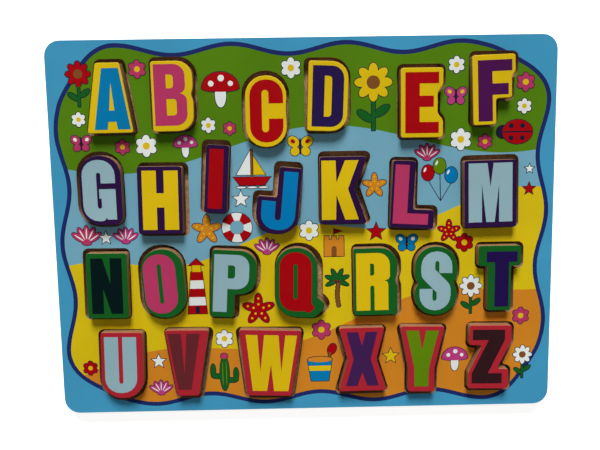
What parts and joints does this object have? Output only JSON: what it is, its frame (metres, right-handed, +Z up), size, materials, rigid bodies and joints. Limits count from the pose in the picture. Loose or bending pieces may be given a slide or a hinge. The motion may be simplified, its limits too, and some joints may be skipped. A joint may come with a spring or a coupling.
{
  "type": "wooden alphabet puzzle",
  "caption": "Flat rounded wooden board with a bright printed face and letter-shaped recesses, each holding a chunky printed letter block that lifts out by hand.",
  "frame": {"origin": "middle of the board's underside", "axes": "+X along the rows of letters in reading order, +Y towards the heads of the letters, +Z up, out of the printed face"},
  "size_m": [0.3, 0.225, 0.0152],
  "materials": {
    "hardboard": "matt",
    "fibreboard": "matt",
    "board_print": "gloss laminate",
    "yellow_print": "gloss laminate",
    "purple_print": "gloss laminate",
    "green_print": "gloss laminate",
    "red_print": "gloss laminate"
  },
  "bodies": {
    "board": {"backing_board": "hardboard", "top_panel": "fibreboard", "printed_sheet": "board_print"},
    "letter_a": {"letter_a_block": "fibreboard", "letter_a_face": "yellow_print"},
    "letter_b": {"letter_b_block": "fibreboard", "letter_b_face": "yellow_print"},
    "letter_c": {"letter_c_block": "fibreboard", "letter_c_face": "yellow_print"},
    "letter_d": {"letter_d_block": "fibreboard", "letter_d_face": "yellow_print"},
    "letter_e": {"letter_e_block": "fibreboard", "letter_e_face": "yellow_print"},
    "letter_f": {"letter_f_block": "fibreboard", "letter_f_face": "yellow_print"},
    "letter_g": {"letter_g_block": "fibreboard", "letter_g_face": "purple_print"},
    "letter_h": {"letter_h_block": "fibreboard", "letter_h_face": "purple_print"},
    "letter_i": {"letter_i_block": "fibreboard", "letter_i_face": "purple_print"},
    "letter_j": {"letter_j_block": "fibreboard", "letter_j_face": "purple_print"},
    "letter_k": {"letter_k_block": "fibreboard", "letter_k_face": "purple_print"},
    "letter_l": {"letter_l_block": "fibreboard", "letter_l_face": "purple_print"},
    "letter_m": {"letter_m_block": "fibreboard", "letter_m_face": "purple_print"},
    "letter_n": {"letter_n_block": "fibreboard", "letter_n_face": "green_print"},
    "letter_o": {"letter_o_block": "fibreboard", "letter_o_face": "green_print"},
    "letter_p": {"letter_p_block": "fibreboard", "letter_p_face": "green_print"},
    "letter_q": {"letter_q_block": "fibreboard", "letter_q_face": "green_print"},
    "letter_r": {"letter_r_block": "fibreboard", "letter_r_face": "green_print"},
    "letter_s": {"letter_s_block": "fibreboard", "letter_s_face": "green_print"},
    "letter_t": {"letter_t_block": "fibreboard", "letter_t_face": "green_print"},
    "letter_u": {"letter_u_block": "fibreboard", "letter_u_face": "red_print"},
    "letter_v": {"letter_v_block": "fibreboard", "letter_v_face": "red_print"},
    "letter_w": {"letter_w_block": "fibreboard", "letter_w_face": "red_print"},
    "letter_x": {"letter_x_block": "fibreboard", "letter_x_face": "red_print"},
    "letter_y": {"letter_y_block": "fibreboard", "letter_y_face": "red_print"},
    "letter_z": {"letter_z_block": "fibreboard", "letter_z_face": "red_print"}
  },
  "joints": [
    {"name": "letter_a_lift", "type": "slide", "parent": "board", "child": "letter_a", "axis": [0, 0, 1], "range_m": [0, 0.03]},
    {"name": "letter_b_lift", "type": "slide", "parent": "board", "child": "letter_b", "axis": [0, 0, 1], "range_m": [0, 0.03]},
    {"name": "letter_c_lift", "type": "slide", "parent": "board", "child": "letter_c", "axis": [0, 0, 1], "range_m": [0, 0.03]},
    {"name": "letter_d_lift", "type": "slide", "parent": "board", "child": "letter_d", "axis": [0, 0, 1], "range_m": [0, 0.03]},
    {"name": "letter_e_lift", "type": "slide", "parent": "board", "child": "letter_e", "axis": [0, 0, 1], "range_m": [0, 0.03]},
    {"name": "letter_f_lift", "type": "slide", "parent": "board", "child": "letter_f", "axis": [0, 0, 1], "range_m": [0, 0.03]},
    {"name": "letter_g_lift", "type": "slide", "parent": "board", "child": "letter_g", "axis": [0, 0, 1], "range_m": [0, 0.03]},
    {"name": "letter_h_lift", "type": "slide", "parent": "board", "child": "letter_h", "axis": [0, 0, 1], "range_m": [0, 0.03]},
    {"name": "letter_i_lift", "type": "slide", "parent": "board", "child": "letter_i", "axis": [0, 0, 1], "range_m": [0, 0.03]},
    {"name": "letter_j_lift", "type": "slide", "parent": "board", "child": "letter_j", "axis": [0, 0, 1], "range_m": [0, 0.03]},
    {"name": "letter_k_lift", "type": "slide", "parent": "board", "child": "letter_k", "axis": [0, 0, 1], "range_m": [0, 0.03]},
    {"name": "letter_l_lift", "type": "slide", "parent": "board", "child": "letter_l", "axis": [0, 0, 1], "range_m": [0, 0.03]},
    {"name": "letter_m_lift", "type": "slide", "parent": "board", "child": "letter_m", "axis": [0, 0, 1], "range_m": [0, 0.03]},
    {"name": "letter_n_lift", "type": "slide", "parent": "board", "child": "letter_n", "axis": [0, 0, 1], "range_m": [0, 0.03]},
    {"name": "letter_o_lift", "type": "slide", "parent": "board", "child": "letter_o", "axis": [0, 0, 1], "range_m": [0, 0.03]},
    {"name": "letter_p_lift", "type": "slide", "parent": "board", "child": "letter_p", "axis": [0, 0, 1], "range_m": [0, 0.03]},
    {"name": "letter_q_lift", "type": "slide", "parent": "board", "child": "letter_q", "axis": [0, 0, 1], "range_m": [0, 0.03]},
    {"name": "letter_r_lift", "type": "slide", "parent": "board", "child": "letter_r", "axis": [0, 0, 1], "range_m": [0, 0.03]},
    {"name": "letter_s_lift", "type": "slide", "parent": "board", "child": "letter_s", "axis": [0, 0, 1], "range_m": [0, 0.03]},
    {"name": "letter_t_lift", "type": "slide", "parent": "board", "child": "letter_t", "axis": [0, 0, 1], "range_m": [0, 0.03]},
    {"name": "letter_u_lift", "type": "slide", "parent": "board", "child": "letter_u", "axis": [0, 0, 1], "range_m": [0, 0.03]},
    {"name": "letter_v_lift", "type": "slide", "parent": "board", "child": "letter_v", "axis": [0, 0, 1], "range_m": [0, 0.03]},
    {"name": "letter_w_lift", "type": "slide", "parent": "board", "child": "letter_w", "axis": [0, 0, 1], "range_m": [0, 0.03]},
    {"name": "letter_x_lift", "type": "slide", "parent": "board", "child": "letter_x", "axis": [0, 0, 1], "range_m": [0, 0.03]},
    {"name": "letter_y_lift", "type": "slide", "parent": "board", "child": "letter_y", "axis": [0, 0, 1], "range_m": [0, 0.03]},
    {"name": "letter_z_lift", "type": "slide", "parent": "board", "child": "letter_z", "axis": [0, 0, 1], "range_m": [0, 0.03]}
  ]
}
